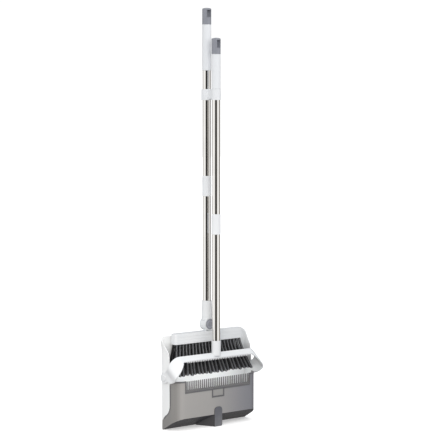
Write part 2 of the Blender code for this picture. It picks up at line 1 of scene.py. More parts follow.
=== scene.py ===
# %% [markdown]
# # A dustpan with a hood and its broom
#
# The set stands stored: the broom's head sits in the mouth of the pan, and both handles run up side
# by side. The frame holds the measured solids. This lesson gives every one of them a finish, and
# makes again the pieces whose shape needs more than a plain solid: the bristles, the pan's flared
# lips, the button's ring, and the beads, ridges and teeth of the mouldings.

# %% Load the frame
import math
import random
import bpy
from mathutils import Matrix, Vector, noise


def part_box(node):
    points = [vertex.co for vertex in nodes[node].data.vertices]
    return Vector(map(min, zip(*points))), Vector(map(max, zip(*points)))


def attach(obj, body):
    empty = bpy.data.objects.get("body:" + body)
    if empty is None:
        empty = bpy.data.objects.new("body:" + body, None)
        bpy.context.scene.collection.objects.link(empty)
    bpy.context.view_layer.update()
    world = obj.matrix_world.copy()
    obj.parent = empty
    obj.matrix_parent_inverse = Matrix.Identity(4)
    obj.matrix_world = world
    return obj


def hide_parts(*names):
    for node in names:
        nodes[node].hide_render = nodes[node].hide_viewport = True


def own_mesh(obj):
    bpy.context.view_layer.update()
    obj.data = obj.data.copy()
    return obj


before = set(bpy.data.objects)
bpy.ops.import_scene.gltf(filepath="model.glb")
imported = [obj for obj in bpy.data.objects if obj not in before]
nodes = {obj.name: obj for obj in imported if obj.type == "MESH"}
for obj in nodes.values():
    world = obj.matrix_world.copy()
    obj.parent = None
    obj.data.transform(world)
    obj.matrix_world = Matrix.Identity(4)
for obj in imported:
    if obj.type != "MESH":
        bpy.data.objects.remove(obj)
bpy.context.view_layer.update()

# %% [markdown]
# Positions come from the solids' boxes. The pan's back lies at the highest Y of its body, the hood's
# front at the lowest Y of the hood, and the broom's axis runs through the middle of its tube.

# %% Places taken from the frame
MM = 0.001


def middle(node):
    low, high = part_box(node)
    return (Vector(low) + Vector(high)) / 2


PAN_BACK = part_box("pan_body")[1][1]
PAN_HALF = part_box("pan_body")[1][0]
HOOD_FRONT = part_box("hood")[0][1]
HOOD_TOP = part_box("hood")[1][2]
BROOM_Y = middle("broom_lower_tube").y
BAR_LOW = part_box("broom_bar")[0]
BUTTON = middle("swivel_button")
print("pan back", round(PAN_BACK * 1000, 1), "hood front", round(HOOD_FRONT * 1000, 1), "mm")

# %% [markdown]
# ## Camera, floor and light
#
# The camera stands about 4.5 m away, a little to the left of the hood's front, with a long lens, so
# that the handles run almost parallel. The floor is a wide pale sheet. The sky is an even white that
# lights everything softly. Steel only shows what it mirrors, so for mirrored rays the sky carries a
# dark upright band on the camera's side, as a black flag gives in a studio: it draws the dark core
# in the tubes.

# %% Camera
camera_data = bpy.data.cameras.new("camera")
camera = bpy.data.objects.new("camera", camera_data)
bpy.context.scene.collection.objects.link(camera)
camera.location = (-2.883, -3.459, 0.874)
CAMERA_TILT_DOWN, CAMERA_TURN = 3.78, -40
camera.rotation_euler = (math.radians(90 - CAMERA_TILT_DOWN), 0, math.radians(CAMERA_TURN))
camera_data.lens = 135.1
camera_data.sensor_width = 36
bpy.context.scene.camera = camera
bpy.context.scene.view_settings.view_transform = "Standard"
print("camera at", [round(v, 2) for v in camera.location])

# %% Node helpers


def add_node(tree, kind, place=(0, 0), **settings):
    """A node of that kind, with its properties or its inputs set by name."""
    node = tree.nodes.new(kind)
    node.location = place
    for key, value in settings.items():
        if hasattr(node, key):
            setattr(node, key, value)
        else:
            node.inputs[key.replace("_", " ")].default_value = value
    return node


def ramp(tree, stops, place=(0, 0)):
    """A colour ramp with the given (position, grey or colour) stops."""
    node = tree.nodes.new("ShaderNodeValToRGB")
    node.location = place
    while len(node.color_ramp.elements) > 1:
        node.color_ramp.elements.remove(node.color_ramp.elements[-1])
    for i, (position, colour) in enumerate(stops):
        element = node.color_ramp.elements[0] if i == 0 else node.color_ramp.elements.new(position)
        element.position = position
        value = (colour,) * 3 if isinstance(colour, (int, float)) else colour
        element.color = (*value, 1.0)
    return node


# %% Sky: bands by bearing
BANDS_MIDDLE = math.atan2(-3.461, -2.883)   # the bearing that the dark core faces
world = bpy.data.worlds.new("studio")
bpy.context.scene.world = world
world.use_nodes = True
sky = world.node_tree
sky.nodes.clear()
coords = add_node(sky, "ShaderNodeTexCoord")
split = add_node(sky, "ShaderNodeSeparateXYZ")
sky.links.new(coords.outputs["Generated"], split.inputs[0])
bearing = add_node(sky, "ShaderNodeMath", operation="ARCTAN2")
sky.links.new(split.outputs["Y"], bearing.inputs[0])
sky.links.new(split.outputs["X"], bearing.inputs[1])
turn = add_node(sky, "ShaderNodeMath", operation="SUBTRACT")
turn.inputs[1].default_value = BANDS_MIDDLE
sky.links.new(bearing.outputs[0], turn.inputs[0])
wrap = add_node(sky, "ShaderNodeMath", operation="WRAP")
wrap.inputs[1].default_value = math.pi
wrap.inputs[2].default_value = -math.pi
sky.links.new(turn.outputs[0], wrap.inputs[0])
share = add_node(sky, "ShaderNodeMapRange", From_Min=-math.pi, From_Max=math.pi)
sky.links.new(wrap.outputs[0], share.inputs["Value"])
bands = ramp(sky, [(0.0, 0.20), (0.13, (0.25, 0.22, 0.19)), (0.19, 1.1), (0.39, 1.15),
                   (0.42, (0.20, 0.18, 0.15)), (0.44, 0.015), (0.55, 0.015), (0.57, (0.34, 0.31, 0.27)),
                   (0.61, 1.15), (0.74, 1.1), (0.79, (0.25, 0.22, 0.19)), (1.0, 0.20)])
sky.links.new(share.outputs[0], bands.inputs[0])
height = add_node(sky, "ShaderNodeMapRange", From_Min=0.45, From_Max=0.9)
sky.links.new(split.outputs["Z"], height.inputs["Value"])
above = add_node(sky, "ShaderNodeMix", data_type="RGBA")
above.inputs["B"].default_value = (1.05, 1.05, 1.05, 1)
sky.links.new(height.outputs[0], above.inputs["Factor"])
sky.links.new(bands.outputs[0], above.inputs["A"])
print("sky bands:", len(bands.color_ramp.elements), "stops")

# %% Sky: one background for each kind of ray
rays = add_node(sky, "ShaderNodeLightPath")
soft = add_node(sky, "ShaderNodeBackground", Color=(0.985, 0.99, 1.0, 1), Strength=1.06)
mirrored = add_node(sky, "ShaderNodeBackground", Strength=1.0)
sky.links.new(above.outputs["Result"], mirrored.inputs["Color"])
seen = add_node(sky, "ShaderNodeBackground", Color=(1, 1, 1, 1), Strength=1.05)
by_gloss = add_node(sky, "ShaderNodeMixShader")
sky.links.new(rays.outputs["Is Glossy Ray"], by_gloss.inputs[0])
sky.links.new(soft.outputs[0], by_gloss.inputs[1])
sky.links.new(mirrored.outputs[0], by_gloss.inputs[2])
by_camera = add_node(sky, "ShaderNodeMixShader")
sky.links.new(rays.outputs["Is Camera Ray"], by_camera.inputs[0])
sky.links.new(by_gloss.outputs[0], by_camera.inputs[1])
sky.links.new(seen.outputs[0], by_camera.inputs[2])
sky_out = add_node(sky, "ShaderNodeOutputWorld")
sky.links.new(by_camera.outputs[0], sky_out.inputs[0])
print("sky:", len(sky.nodes), "nodes")

# %% Lamps


def softbox(name, place, aim, size, power, colour):
    """A square area light at a place, turned to its aim."""
    data = bpy.data.lights.new(name, "AREA")
    data.size = size
    data.energy = power
    data.color = colour
    lamp = bpy.data.objects.new(name, data)
    bpy.context.scene.collection.objects.link(lamp)
    lamp.location = place
    lamp.rotation_euler = (Vector(aim) - Vector(place)).to_track_quat("-Z", "Y").to_euler()
    lamp.visible_glossy = False
    lamp.visible_camera = False
    return lamp


softbox("left_softbox", (-0.50, -0.42, 0.22), (-0.12, 0, 0.1), 0.3, 1.4, (1.0, 0.94, 0.87))
softbox("top_softbox", (-0.5, -1.1, 1.5), (0, 0, 1.05), 0.8, 4.3, (1.0, 1.0, 1.0))
mouth_slit = (0, HOOD_FRONT + 6 * MM, HOOD_TOP + 5 * MM)
mouth = softbox("mouth_softbox", mouth_slit, (0, 0.03, 0.13), 0.26, 0.07, (1, 1, 1))
mouth.data.shape = "RECTANGLE"
mouth.data.size_y = 0.008
print("lamps made")

# %% [markdown]
# The floor is paper-white to the eye. For the light that it throws back up it is darker, so that the
# undersides keep their shade, and mirrored rays pass through it to the sky's bands, so that the dark
# core runs down the whole tube.

# %% Floor
bpy.ops.object.select_all(action="DESELECT")
bpy.ops.mesh.primitive_plane_add(size=40)
floor = bpy.context.object
floor.name = "floor"
paper = bpy.data.materials.new("pale_paper")
paper.use_nodes = True
tree = paper.node_tree
tree.nodes.clear()
ray = add_node(tree, "ShaderNodeLightPath")
pale = add_node(tree, "ShaderNodeBsdfDiffuse", Color=(0.9, 0.9, 0.9, 1))
glow = add_node(tree, "ShaderNodeEmission", Strength=0.36)
shown = add_node(tree, "ShaderNodeAddShader")
tree.links.new(pale.outputs[0], shown.inputs[0])
tree.links.new(glow.outputs[0], shown.inputs[1])
dim = add_node(tree, "ShaderNodeBsdfDiffuse", Color=(0.32, 0.32, 0.33, 1))
to_eye = add_node(tree, "ShaderNodeMixShader")
tree.links.new(ray.outputs["Is Camera Ray"], to_eye.inputs[0])
tree.links.new(dim.outputs[0], to_eye.inputs[1])
tree.links.new(shown.outputs[0], to_eye.inputs[2])
through = add_node(tree, "ShaderNodeBsdfTransparent")
to_mirror = add_node(tree, "ShaderNodeMixShader")
tree.links.new(ray.outputs["Is Glossy Ray"], to_mirror.inputs[0])
tree.links.new(to_eye.outputs[0], to_mirror.inputs[1])
tree.links.new(through.outputs[0], to_mirror.inputs[2])
paper_out = add_node(tree, "ShaderNodeOutputMaterial")
tree.links.new(to_mirror.outputs[0], paper_out.inputs[0])
floor.data.materials.append(paper)
print("floor made")

# %% [markdown]
# ## Shared effects
#
# Moulded plastic is never one flat colour. It has a slow drift of tone where the melt cooled at
# different speeds, a fine spark-eroded grain from the tool, and small rubbed scuffs from use. Each
# effect is a node group, built once, that gives a mask or a height. The shader stays in the material.

# %% An empty node group


def new_group(name, inputs, outputs):
    """An empty node group with float inputs (name, default) and the named outputs."""
    group = bpy.data.node_groups.new(name, "ShaderNodeTree")
    for label, default in inputs:
        socket = group.interface.new_socket(label, in_out="INPUT", socket_type="NodeSocketFloat")
        socket.default_value = default
    for label in outputs:
        group.interface.new_socket(label, in_out="OUTPUT", socket_type="NodeSocketFloat")
    start = add_node(group, "NodeGroupInput", (-900, 0))
    end = add_node(group, "NodeGroupOutput", (600, 0))
    place = add_node(group, "ShaderNodeTexCoord", (-900, -300))
    return group, start, end, place.outputs["Object"]


print("node groups can be made")

# %% Tone drift


def make_tone_drift():
    """Slow change of tone: 0 to 1 over some centimetres."""
    group, start, end, place = new_group("tone_drift", [("Scale", 9.0), ("Detail", 2.0)], ["Tone"])
    cloud = add_node(group, "ShaderNodeTexNoise", (-500, 0), Roughness=0.55)
    group.links.new(place, cloud.inputs["Vector"])
    group.links.new(start.outputs["Scale"], cloud.inputs["Scale"])
    group.links.new(start.outputs["Detail"], cloud.inputs["Detail"])
    spread = add_node(group, "ShaderNodeMapRange", (-200, 0), From_Min=0.32, From_Max=0.68)
    group.links.new(cloud.outputs["Fac"], spread.inputs["Value"])
    group.links.new(spread.outputs[0], end.inputs["Tone"])
    return group


TONE_DRIFT = make_tone_drift()
print(TONE_DRIFT.name + ":", len(TONE_DRIFT.nodes), "nodes")

# %% Tool grain


def make_tool_grain():
    """Fine pitted grain of an eroded mould, as a height."""
    group, start, end, place = new_group("tool_grain", [("Scale", 900.0), ("Pits", 0.4)], ["Height"])
    fine = add_node(group, "ShaderNodeTexNoise", (-500, 100), Detail=3.0, Roughness=0.6)
    pits = add_node(group, "ShaderNodeTexVoronoi", (-500, -200))
    for texture in (fine, pits):
        group.links.new(place, texture.inputs["Vector"])
        group.links.new(start.outputs["Scale"], texture.inputs["Scale"])
    mix = add_node(group, "ShaderNodeMix", (-200, 0))
    group.links.new(start.outputs["Pits"], mix.inputs["Factor"])
    group.links.new(fine.outputs["Fac"], mix.inputs["A"])
    group.links.new(pits.outputs["Distance"], mix.inputs["B"])
    group.links.new(mix.outputs["Result"], end.inputs["Height"])
    return group


TOOL_GRAIN = make_tool_grain()
print(TOOL_GRAIN.name + ":", len(TOOL_GRAIN.nodes), "nodes")

# %% Rubbed scuffs


def make_rubbed_scuffs():
    """Sparse thin scuffs and rubbed spots: 1 where the surface is rubbed."""
    group, start, end, place = new_group("rubbed_scuffs", [("Scale", 60.0), ("Amount", 0.5)], ["Scuff"])
    stretch = add_node(group, "ShaderNodeMapping", (-700, 0))
    stretch.inputs["Rotation"].default_value = (0.3, 0.5, 0.7)
    stretch.inputs["Scale"].default_value = (1.0, 1.0, 0.12)
    group.links.new(place, stretch.inputs["Vector"])
    lines = add_node(group, "ShaderNodeTexNoise", (-500, 0), Detail=4.0, Roughness=0.7)
    group.links.new(stretch.outputs[0], lines.inputs["Vector"])
    group.links.new(start.outputs["Scale"], lines.inputs["Scale"])
    thin = add_node(group, "ShaderNodeMapRange", (-200, 0), From_Min=0.64, From_Max=0.74)
    group.links.new(lines.outputs["Fac"], thin.inputs["Value"])
    some = add_node(group, "ShaderNodeMath", (0, 0), operation="MULTIPLY")
    group.links.new(thin.outputs[0], some.inputs[0])
    group.links.new(start.outputs["Amount"], some.inputs[1])
    group.links.new(some.outputs[0], end.inputs["Scuff"])
    return group


RUBBED_SCUFFS = make_rubbed_scuffs()
print(RUBBED_SCUFFS.name + ":", len(RUBBED_SCUFFS.nodes), "nodes")

# %% Floor dust


def make_floor_dust():
    """Dust that lies low on the piece: 1 at the floor, gone at the given height in metres."""
    group, start, end, place = new_group("floor_dust", [("Top", 0.06), ("Amount", 0.3)], ["Dust"])
    split_place = add_node(group, "ShaderNodeSeparateXYZ", (-700, 0))
    group.links.new(place, split_place.inputs[0])
    fall = add_node(group, "ShaderNodeMapRange", (-400, 0), From_Min=0.0, To_Min=1.0, To_Max=0.0)
    group.links.new(split_place.outputs["Z"], fall.inputs["Value"])
    group.links.new(start.outputs["Top"], fall.inputs["From Max"])
    specks = add_node(group, "ShaderNodeTexNoise", (-400, -250), Scale=70.0, Detail=5.0)
    group.links.new(place, specks.inputs["Vector"])
    both = add_node(group, "ShaderNodeMath", (-100, 0), operation="MULTIPLY")
    group.links.new(fall.outputs[0], both.inputs[0])
    group.links.new(specks.outputs["Fac"], both.inputs[1])
    some = add_node(group, "ShaderNodeMath", (100, 0), operation="MULTIPLY")
    group.links.new(both.outputs[0], some.inputs[0])
    group.links.new(start.outputs["Amount"], some.inputs[1])
    group.links.new(some.outputs[0], end.inputs["Dust"])
    return group



FLOOR_DUST = make_floor_dust()
print(FLOOR_DUST.name + ":", len(FLOOR_DUST.nodes), "nodes")

# %% [markdown]
# ## Plastics
#
# All the plastics share one recipe with their own values: two near tones mixed by the slow drift,
# scuffs that turn paler and rougher, dust near the floor, and the tool's grain as a bump.

# %% Groups and mixes inside a material


def use_group(tree, group, place, **values):
    node = tree.nodes.new("ShaderNodeGroup")
    node.node_tree = group
    node.location = place
    for key, value in values.items():
        node.inputs[key].default_value = value
    return node


def mix_colour(tree, factor, a, b, place):
    """A colour mix. a and b are colours or sockets, factor is a socket."""
    node = add_node(tree, "ShaderNodeMix", place, data_type="RGBA")
    tree.links.new(factor, node.inputs["Factor"])
    for value, label in ((a, "A"), (b, "B")):
        if isinstance(value, tuple):
            node.inputs[label].default_value = (*value, 1)
        else:
            tree.links.new(value, node.inputs[label])
    return node.outputs["Result"]


print("mixing helpers ready")

# %% Plastic recipe
SCUFF_ROUGHNESS = 0.25   # how much rougher a full scuff is


def plastic(name, tone_a, tone_b, rough, grain=900.0, bump=0.12, scuff=0.35, dust=0.25, drift=9.0):
    """Moulded plastic between two tones, with a (low, high) roughness."""
    mat = bpy.data.materials.new(name)
    mat.use_nodes = True
    tree = mat.node_tree
    shader = tree.nodes["Principled BSDF"]
    tone = use_group(tree, TONE_DRIFT, (-1100, 300), Scale=drift)
    scuffs = use_group(tree, RUBBED_SCUFFS, (-1100, 50), Amount=scuff)
    dirt = use_group(tree, FLOOR_DUST, (-1100, -150), Amount=dust)
    height = use_group(tree, TOOL_GRAIN, (-1100, -350), Scale=grain)
    base = mix_colour(tree, tone.outputs["Tone"], tone_a, tone_b, (-800, 300))
    pale = tuple(min(1.0, v * 1.12 + 0.02) for v in tone_b)
    rubbed = mix_colour(tree, scuffs.outputs["Scuff"], base, pale, (-600, 300))
    dusty = mix_colour(tree, dirt.outputs["Dust"], rubbed, (0.55, 0.53, 0.5), (-400, 300))
    tree.links.new(dusty, shader.inputs["Base Color"])
    gloss = add_node(tree, "ShaderNodeMapRange", (-600, 0), To_Min=rough[0], To_Max=rough[1])
    tree.links.new(tone.outputs["Tone"], gloss.inputs["Value"])
    worn = add_node(tree, "ShaderNodeMath", (-400, 0), operation="ADD")
    worn.use_clamp = True
    tree.links.new(gloss.outputs[0], worn.inputs[0])
    softer = add_node(tree, "ShaderNodeMath", (-600, -200), operation="MULTIPLY")
    softer.inputs[1].default_value = SCUFF_ROUGHNESS
    tree.links.new(scuffs.outputs["Scuff"], softer.inputs[0])
    tree.links.new(softer.outputs[0], worn.inputs[1])
    tree.links.new(worn.outputs[0], shader.inputs["Roughness"])
    relief = add_node(tree, "ShaderNodeBump", (-400, -350), Strength=bump, Distance=0.0002)
    tree.links.new(height.outputs["Height"], relief.inputs["Height"])
    tree.links.new(relief.outputs[0], shader.inputs["Normal"])
    shader.inputs["Specular IOR Level"].default_value = 0.4
    return mat


# %% The plastics
# Painted light: both whites stand for one white plastic. The gloss white is darker, painted shade for the
# strongly lit parts low down, and the satin white is paler, painted light for the grips, sleeves and clip.
WHITE = plastic("white_plastic_gloss", (0.72, 0.742, 0.76), (0.755, 0.772, 0.785), (0.28, 0.40))
WHITE_SATIN = plastic("white_plastic_satin", (0.84, 0.86, 0.88), (0.88, 0.895, 0.91), (0.42, 0.55), bump=0.2)
CREAM = plastic("white_plastic_pan", (0.80, 0.82, 0.83), (0.85, 0.86, 0.86), (0.30, 0.42), dust=0.45)
SLATE = plastic("slate_plastic_foot", (0.085, 0.09, 0.108), (0.115, 0.12, 0.14), (0.34, 0.5), scuff=0.5)
BLUE_GREY = plastic(
    "blue_grey_plastic_caps", (0.27, 0.28, 0.315), (0.325, 0.335, 0.375), (0.38, 0.52), grain=700.0, bump=0.3)
print("plastics made")

# %% [markdown]
# ## Smoked plastic
#
# The hood is tinted plastic that lets some light through: behind it the white pan shows as a paler
# glow. A small part of the light passes (transmission) and the rest is scattered by the tint. Shade
# is painted into the colour: the hood is darker at its side corners, underneath and towards one end,
# and the foot on its faces that turn from the front. Two helpers mix in such a tone: one by the
# piece's own normal, one by place, which also gives the comb's latch tab the hood's paler tone.

# %% Tones by normal and by place


def paint_shade_by_normal(mat, axis, edge, tone):
    """Mix in painted shade, a darker tone, where the piece's own normal, along one axis, is past the edge."""
    tree = mat.node_tree
    shader = tree.nodes["Principled BSDF"]
    place = add_node(tree, "ShaderNodeTexCoord", (-500, 600))
    split_normal = add_node(tree, "ShaderNodeSeparateXYZ", (-350, 600))
    tree.links.new(place.outputs["Normal"], split_normal.inputs[0])
    mask = add_node(tree, "ShaderNodeMapRange", (-200, 600), From_Min=edge[0], From_Max=edge[1])
    tree.links.new(split_normal.outputs[axis], mask.inputs["Value"])
    before = shader.inputs["Base Color"].links[0].from_socket
    mixed = mix_colour(tree, mask.outputs[0], before, tone, (-50, 500))
    tree.links.new(mixed, shader.inputs["Base Color"])


def shade_along(mat, axis, ends, tone):
    """Mix in another tone along one axis, from none at the first end to all at the second."""
    tree = mat.node_tree
    shader = tree.nodes["Principled BSDF"]
    place = add_node(tree, "ShaderNodeTexCoord", (-500, 900))
    split_place = add_node(tree, "ShaderNodeSeparateXYZ", (-350, 900))
    tree.links.new(place.outputs["Object"], split_place.inputs[0])
    mask = add_node(tree, "ShaderNodeMapRange", (-200, 900), From_Min=ends[0], From_Max=ends[1])
    mask.interpolation_type = "SMOOTHSTEP"
    tree.links.new(split_place.outputs[axis], mask.inputs["Value"])
    before = shader.inputs["Base Color"].links[0].from_socket
    mixed = mix_colour(tree, mask.outputs[0], before, tone, (-50, 750))
    tree.links.new(mixed, shader.inputs["Base Color"])


print("tone helpers ready")

# %% Smoked plastic


def smoked(name, tone_a, tone_b, clear, rough):
    mat = plastic(name, tone_a, tone_b, rough, grain=1200.0, bump=0.05, scuff=0.0, dust=0.15, drift=3.0)
    shader = mat.node_tree.nodes["Principled BSDF"]
    shader.inputs["Transmission Weight"].default_value = clear
    shader.inputs["IOR"].default_value = 1.35
    return mat


SMOKE = smoked("smoked_plastic_hood", (0.365, 0.358, 0.35), (0.40, 0.39, 0.378), 0.08, (0.24, 0.30))
# Painted shade: the hood darkens towards its +X end, which the lamps from the left reach less.
shade_along(SMOKE, "X", (-0.04, 0.14), (0.24, 0.243, 0.268))
# Painted shade on the hood's corner where its normal turns to -X.
paint_shade_by_normal(SMOKE, "X", (-0.35, -0.8), (0.25, 0.245, 0.238))
# Painted shade, darker still, on the hood's corner where its normal turns to +X, away from the lamps.
paint_shade_by_normal(SMOKE, "X", (0.5, 0.72), (0.12, 0.12, 0.132))
# Painted shade on the hood's underside, where its normal turns down.
paint_shade_by_normal(SMOKE, "Z", (-0.1, -0.5), (0.105, 0.102, 0.115))
# Painted shade on the foot's faces that turn from the front.
paint_shade_by_normal(SLATE, "Y", (-0.93, -0.75), (0.055, 0.054, 0.058))
SMOKE_DARK = smoked("smoked_plastic_comb", (0.165, 0.165, 0.17), (0.205, 0.20, 0.20), 0.1, (0.3, 0.4))
shade_along(SMOKE_DARK, "Z", (0.1035, 0.1025), (0.335, 0.33, 0.322))
RIM = plastic(
    "smoked_plastic_rim", (0.105, 0.107, 0.115), (0.135, 0.135, 0.14), (0.28, 0.4), scuff=0.2, dust=0.1)
print("smoked plastics made")

# %% [markdown]
# ## Steel tube
#
# The tubes are drawn and polished stainless steel. Drawing leaves hair-fine lines along the tube, and
# hands leave faint clouds. Both change the roughness a little, and the lines also lift the surface.

# %% Steel


def steel(name, tint, rough):
    mat = bpy.data.materials.new(name)
    mat.use_nodes = True
    tree = mat.node_tree
    shader = tree.nodes["Principled BSDF"]
    shader.inputs["Metallic"].default_value = 1.0
    place = add_node(tree, "ShaderNodeTexCoord", (-1300, 0))
    along = add_node(tree, "ShaderNodeMapping", (-1100, 0))
    along.inputs["Scale"].default_value = (1.0, 1.0, 0.012)
    tree.links.new(place.outputs["Object"], along.inputs["Vector"])
    lines = add_node(tree, "ShaderNodeTexNoise", (-900, 0), Scale=1600.0, Detail=3.0, Roughness=0.65)
    tree.links.new(along.outputs[0], lines.inputs["Vector"])
    clouds = use_group(tree, TONE_DRIFT, (-900, 300), Scale=22.0, Detail=4.0)
    colour = mix_colour(tree, clouds.outputs["Tone"], tint, tuple(v * 0.93 for v in tint), (-600, 300))
    tree.links.new(colour, shader.inputs["Base Color"])
    base = add_node(tree, "ShaderNodeMapRange", (-600, 50), To_Min=rough[0], To_Max=rough[1])
    tree.links.new(clouds.outputs["Tone"], base.inputs["Value"])
    fine = add_node(tree, "ShaderNodeMapRange", (-600, -150), To_Min=-0.02, To_Max=0.02)
    tree.links.new(lines.outputs["Fac"], fine.inputs["Value"])
    total = add_node(tree, "ShaderNodeMath", (-350, 0), operation="ADD")
    tree.links.new(base.outputs[0], total.inputs[0])
    tree.links.new(fine.outputs[0], total.inputs[1])
    tree.links.new(total.outputs[0], shader.inputs["Roughness"])
    relief = add_node(tree, "ShaderNodeBump", (-350, -300), Strength=0.08, Distance=0.0001)
    tree.links.new(lines.outputs["Fac"], relief.inputs["Height"])
    tree.links.new(relief.outputs[0], shader.inputs["Normal"])
    return mat


STEEL = steel("polished_steel_tube", (0.80, 0.785, 0.76), (0.03, 0.07))
PIN_STEEL = steel("turned_steel_pin", (0.70, 0.69, 0.67), (0.25, 0.35))
print("steels made")

# %% Finishes on the frame's own solids


def paint(material, *names):
    for name in names:
        obj = nodes[name]
        obj.data.materials.clear()
        obj.data.materials.append(material)


paint(WHITE, "bail", "broom_bar", "broom_neck", "pivot_pin_left", "pivot_pin_right")
paint(WHITE_SATIN, "pole_clip", "handle_joint_sleeve", "broom_joint_sleeve", "handle_grip", "broom_grip")
paint(CREAM, "pan_body")
paint(SMOKE, "hood")
paint(SMOKE_DARK, "hood_comb")
paint(SLATE, "foot")
paint(BLUE_GREY, "handle_cap", "broom_cap", "swivel_button")
paint(STEEL, "handle_lower_tube", "handle_upper_tube", "broom_lower_tube", "broom_upper_tube")
paint(PIN_STEEL, "swivel_pin")
print("painted:", len([o for o in nodes.values() if o.data.materials]))

# %% [markdown]
# ## Pieces drawn as outlines
#
# Beads, ridges and bars are flat outlines with a thickness. Each outline is drawn as by hand: one
# point is extruded from corner to corner, the loop is filled with a face, and the face is pulled
# out. On a thin curved band the automatic choice of outside can be wrong, so the volume's sign is
# tested and the faces are flipped if needed. A small bevel takes the sharpness off the edges, because
# moulded edges are never quite sharp.

# %% Draw a slab


def deselect():
    if bpy.context.object and bpy.context.object.mode != "OBJECT":
        bpy.ops.object.mode_set(mode="OBJECT")
    bpy.ops.object.select_all(action="DESELECT")


def apply_bevel(obj, width, segments=2):
    deselect()
    obj.select_set(True)
    bpy.context.view_layer.objects.active = obj
    mod = obj.modifiers.new("soft_edges", "BEVEL")
    mod.width = width
    mod.segments = segments
    mod.limit_method = "ANGLE"
    mod.angle_limit = math.radians(40)
    bpy.ops.object.modifier_apply(modifier=mod.name)


def faces_inward(obj):
    """True if the signed volume is negative, so that the faces point into the piece."""
    return sum(face.center.dot(face.normal) * face.area for face in obj.data.polygons) < 0


def slab(name, points, pull, soft=0.0):
    """A closed outline through the points, pulled out by a vector. soft is the edges' bevel."""
    deselect()
    bpy.ops.mesh.primitive_plane_add(size=MM, location=points[0])
    obj = bpy.context.object
    obj.name = name
    bpy.ops.object.mode_set(mode="EDIT")
    bpy.ops.mesh.select_all(action="SELECT")
    bpy.ops.mesh.merge(type="CENTER")
    for a, b in zip(points, points[1:]):
        step = {"value": Vector(b) - Vector(a)}
        bpy.ops.mesh.extrude_region_move(TRANSFORM_OT_translate=step)
    bpy.ops.mesh.select_all(action="SELECT")
    bpy.ops.mesh.edge_face_add()
    bpy.ops.mesh.extrude_region_move(TRANSFORM_OT_translate={"value": Vector(pull)})
    bpy.ops.mesh.select_all(action="SELECT")
    bpy.ops.mesh.normals_make_consistent(inside=False)
    bpy.ops.object.mode_set(mode="OBJECT")
    bpy.ops.object.transform_apply(location=True, rotation=True, scale=True)
    if faces_inward(obj):
        bpy.ops.object.mode_set(mode="EDIT")
        bpy.ops.mesh.flip_normals()
        bpy.ops.object.mode_set(mode="OBJECT")
    if soft:
        apply_bevel(obj, soft)
    return obj


print("slabs can be drawn")

# %% Finish a piece


def finish_piece(obj, material, body, angle=35):
    """Material, body and smooth shading for a finished piece."""
    obj.data.materials.clear()
    obj.data.materials.append(material)
    deselect()
    obj.select_set(True)
    bpy.context.view_layer.objects.active = obj
    bpy.ops.object.shade_smooth_by_angle(angle=math.radians(angle))
    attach(obj, body)
    print(obj.name + ":", len(obj.data.polygons), "faces")
    return obj


# %% [markdown]
# ## Beads of the hood
#
# The hood's openings are stiffened by a bead: it runs down one side of the comb's recess, round the
# square latch in the middle, and up the other side. A second bead closes the top of the latch, two
# follow the hood's top edge round its corners, and one on each side covers the seam with the white
# wall. The beads are darker than the hood.

# %% Bead round the recess and latch
RECESS = 113 * MM
RECESS_FLOOR = 107 * MM
LATCH = 18 * MM
LATCH_FLOOR = 86 * MM
BEAD = 4.2 * MM
BEAD_DEEP = 0.9 * MM


def recess_outline(y):
    outer_x, outer_z = RECESS + BEAD, RECESS_FLOOR - BEAD
    latch_x, latch_z = LATCH + BEAD, LATCH_FLOOR - BEAD
    top = HOOD_TOP - 0.3 * MM
    half = [(outer_x, top), (outer_x, outer_z), (latch_x, outer_z), (latch_x, latch_z)]
    inner = [(LATCH, LATCH_FLOOR), (LATCH, RECESS_FLOOR), (RECESS, RECESS_FLOOR), (RECESS, top)]
    left = [(-x, z) for x, z in half]
    right = [(x, z) for x, z in reversed(half)]
    back = [(x, z) for x, z in reversed(inner)] + [(-x, z) for x, z in inner]
    return [(x, y, z) for x, z in left + right + back]


recess_bead = slab("hood_recess_bead", recess_outline(HOOD_FRONT + 0.1 * MM), (0, -BEAD_DEEP, 0), 0.35 * MM)
finish_piece(recess_bead, RIM, "pan")
latch_points = [(-LATCH, RECESS_FLOOR - 3.4 * MM), (LATCH, RECESS_FLOOR - 3.4 * MM),
                (LATCH, RECESS_FLOOR + 0.4 * MM), (-LATCH, RECESS_FLOOR + 0.4 * MM)]
latch_bar = slab("hood_latch_bar", [(x, HOOD_FRONT + 0.1 * MM, z) for x, z in latch_points],
                 (0, -BEAD_DEEP, 0), 0.3 * MM)
finish_piece(latch_bar, RIM, "pan")

# %% Beads along the hood's top edge
CORNER = 31 * MM


def corner_line(offset, side):
    """Plan line of the hood's corner and front, moved outward, from the side wall to the recess."""
    cx, cy = PAN_HALF - CORNER, HOOD_FRONT + CORNER
    points = [(PAN_HALF - 0.2 * MM + min(offset, 0.1 * MM), cy + 1.0 * MM)]
    for i in range(11):
        a = math.radians(-90 * i / 10)
        points.append((cx + (CORNER + offset) * math.cos(a), cy + (CORNER + offset) * math.sin(a)))
    points.append((RECESS + BEAD, HOOD_FRONT - offset))
    return [(side * x, y) for x, y in points]


for label, side in (("left", -1), ("right", 1)):
    outer = corner_line(0.55 * MM, side)
    inner = corner_line(-0.15 * MM, side)
    loop = [(x, y, HOOD_TOP - 4.2 * MM) for x, y in outer + inner[::-1]]
    bead = slab("hood_top_bead_" + label, loop, (0, 0, 4.2 * MM), 0.2 * MM)
    finish_piece(bead, RIM, "pan")

# %% Beads over the seam with the side walls
SEAM_SHIFT = PAN_BACK - 34 * MM


